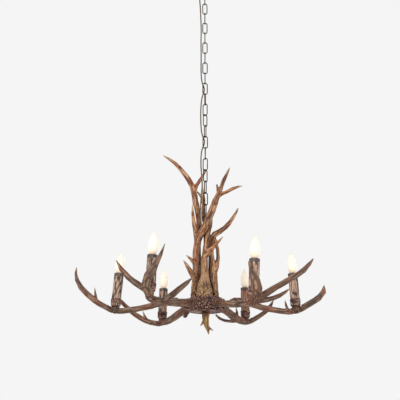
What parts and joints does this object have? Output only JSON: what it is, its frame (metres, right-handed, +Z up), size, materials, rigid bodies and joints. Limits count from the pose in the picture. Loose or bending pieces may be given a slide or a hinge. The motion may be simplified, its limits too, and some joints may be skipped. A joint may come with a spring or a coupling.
{
  "type": "chandelier",
  "caption": "Antler-style chandelier on a chain: upright antlers round a stem, curved antler arms with candle sleeves and flame bulbs, a lumpy hub and a finial antler.",
  "frame": {"origin": "centre of the ceiling strap's upper face, where it lies against the ceiling", "axes": "+Z up through the ceiling, +X to the picture's right, +Y away from the camera"},
  "size_m": [0.8397, 0.6069, 1.3433],
  "materials": {
    "bronze": "antique bronze",
    "steel": "zinc plated",
    "bush_plastic": "matt",
    "block_plastic": "smooth",
    "cable_sheath": "smooth sheath",
    "hub_resin": "painted cast resin",
    "plug_resin": "painted cast resin",
    "cup_resin": "painted cast resin",
    "trunk_resin": "painted cast resin",
    "finial_resin": "painted cast resin",
    "arm_resin": "painted cast resin",
    "bark_resin": "bark relief, dark in its grooves",
    "bulb_glass": "frosted",
    "cap_metal": "bright",
    "contact_brass": "bright",
    "holder_plastic": "matt"
  },
  "bodies": {
    "ceiling_fixing": {"canopy": "bronze", "crossbar": "steel", "canopy_studs": "steel", "canopy_cap_nuts": "bronze", "canopy_loop": "bronze", "loop_nut": "steel", "cable_bush": "bush_plastic"},
    "top_link": {"top_link": "bronze", "terminal_block": "block_plastic"},
    "hanging": {"chain_links": "bronze", "supply_cable": "cable_sheath", "stem_eye": "bronze", "centre_stem": "steel", "cable_entry": "bronze", "hub_casting": "hub_resin", "hub_plug": "plug_resin", "hub_plate": "bronze", "antler_bolts": "steel", "wire_connectors": "block_plastic", "mounting_nuts": "steel", "finial_antler": "finial_resin", "candle_cups": "cup_resin", "lamp_holders": "holder_plastic", "candle_nipples": "steel", "lamp_leads": "cable_sheath", "trunk_antler_front": "trunk_resin", "trunk_antler_left": "trunk_resin", "trunk_antler_back_left": "trunk_resin", "trunk_antler_back_right": "trunk_resin", "trunk_antler_right": "trunk_resin", "arm_antler_right": "arm_resin", "arm_antler_far_right": "arm_resin", "arm_antler_far_left": "arm_resin", "arm_antler_left": "arm_resin", "arm_antler_near_left": "arm_resin", "arm_antler_near_right": "arm_resin", "candle_sleeve_right": "bark_resin", "candle_sleeve_far_right": "bark_resin", "candle_sleeve_far_left": "bark_resin", "candle_sleeve_left": "bark_resin", "candle_sleeve_near_left": "bark_resin", "candle_sleeve_near_right": "bark_resin"},
    "bulb_right_lift": {"bulb_contact_right": "contact_brass"},
    "bulb_right_turn": {"bulb_glass_right": "bulb_glass", "bulb_cap_right": "cap_metal"},
    "bulb_far_right_lift": {"bulb_contact_far_right": "contact_brass"},
    "bulb_far_right_turn": {"bulb_glass_far_right": "bulb_glass", "bulb_cap_far_right": "cap_metal"},
    "bulb_far_left_lift": {"bulb_contact_far_left": "contact_brass"},
    "bulb_far_left_turn": {"bulb_glass_far_left": "bulb_glass", "bulb_cap_far_left": "cap_metal"},
    "bulb_left_lift": {"bulb_contact_left": "contact_brass"},
    "bulb_left_turn": {"bulb_glass_left": "bulb_glass", "bulb_cap_left": "cap_metal"},
    "bulb_near_left_lift": {"bulb_contact_near_left": "contact_brass"},
    "bulb_near_left_turn": {"bulb_glass_near_left": "bulb_glass", "bulb_cap_near_left": "cap_metal"},
    "bulb_near_right_lift": {"bulb_contact_near_right": "contact_brass"},
    "bulb_near_right_turn": {"bulb_glass_near_right": "bulb_glass", "bulb_cap_near_right": "cap_metal"}
  },
  "joints": [
    {"name": "swing_front_back", "type": "hinge", "parent": "ceiling_fixing", "child": "top_link", "pos_m": [0, 0, -0.051], "axis": [1, 0, 0], "range_deg": [-8, 8], "deforming": ["supply_cable"]},
    {"name": "swing_side", "type": "hinge", "parent": "top_link", "child": "hanging", "pos_m": [0, 0, -0.09335], "axis": [0, 1, 0], "range_deg": [-8, 8], "deforming": ["supply_cable"]},
    {"name": "lift_right", "type": "slide", "parent": "hanging", "child": "bulb_right_lift", "axis": [-0.0523, 0, 0.9986], "range_m": [0, 0.01129]},
    {"name": "unscrew_right", "type": "hinge", "parent": "bulb_right_lift", "child": "bulb_right_turn", "pos_m": [0.297, 0, -1.25205], "axis": [-0.0523, 0, 0.9986], "range_deg": [0, 1440]},
    {"name": "lift_far_right", "type": "slide", "parent": "hanging", "child": "bulb_far_right_lift", "axis": [0, 0, 1], "range_m": [0, 0.01129]},
    {"name": "unscrew_far_right", "type": "hinge", "parent": "bulb_far_right_lift", "child": "bulb_far_right_turn", "pos_m": [0.1485, 0.25721, -1.25405], "axis": [0, 0, 1], "range_deg": [0, 1440]},
    {"name": "lift_far_left", "type": "slide", "parent": "hanging", "child": "bulb_far_left_lift", "axis": [0.0349, 0, 0.9994], "range_m": [0, 0.01129]},
    {"name": "unscrew_far_left", "type": "hinge", "parent": "bulb_far_left_lift", "child": "bulb_far_left_turn", "pos_m": [-0.15739, 0.25187, -1.25805], "axis": [0.0349, 0, 0.9994], "range_deg": [0, 1440]},
    {"name": "lift_left", "type": "slide", "parent": "hanging", "child": "bulb_left_lift", "axis": [0.0698, 0, 0.9976], "range_m": [0, 0.01129]},
    {"name": "unscrew_left", "type": "hinge", "parent": "bulb_left_lift", "child": "bulb_left_turn", "pos_m": [-0.297, 0, -1.25205], "axis": [0.0698, 0, 0.9976], "range_deg": [0, 1440]},
    {"name": "lift_near_left", "type": "slide", "parent": "hanging", "child": "bulb_near_left_lift", "axis": [0.0523, 0, 0.9986], "range_m": [0, 0.01129]},
    {"name": "unscrew_near_left", "type": "hinge", "parent": "bulb_near_left_lift", "child": "bulb_near_left_turn", "pos_m": [-0.16608, -0.24622, -1.24605], "axis": [0.0523, 0, 0.9986], "range_deg": [0, 1440]},
    {"name": "lift_near_right", "type": "slide", "parent": "hanging", "child": "bulb_near_right_lift", "axis": [0.0523, 0, 0.9986], "range_m": [0, 0.01129]},
    {"name": "unscrew_near_right", "type": "hinge", "parent": "bulb_near_right_lift", "child": "bulb_near_right_turn", "pos_m": [0.13714, -0.26344, -1.26205], "axis": [0.0523, 0, 0.9986], "range_deg": [0, 1440]}
  ],
  "couplings": [
    {"joint": "lift_right", "follows": "unscrew_right", "m_per_rad": 0.00044914},
    {"joint": "lift_far_right", "follows": "unscrew_far_right", "m_per_rad": 0.00044914},
    {"joint": "lift_far_left", "follows": "unscrew_far_left", "m_per_rad": 0.00044914},
    {"joint": "lift_left", "follows": "unscrew_left", "m_per_rad": 0.00044914},
    {"joint": "lift_near_left", "follows": "unscrew_near_left", "m_per_rad": 0.00044914},
    {"joint": "lift_near_right", "follows": "unscrew_near_right", "m_per_rad": 0.00044914}
  ]
}
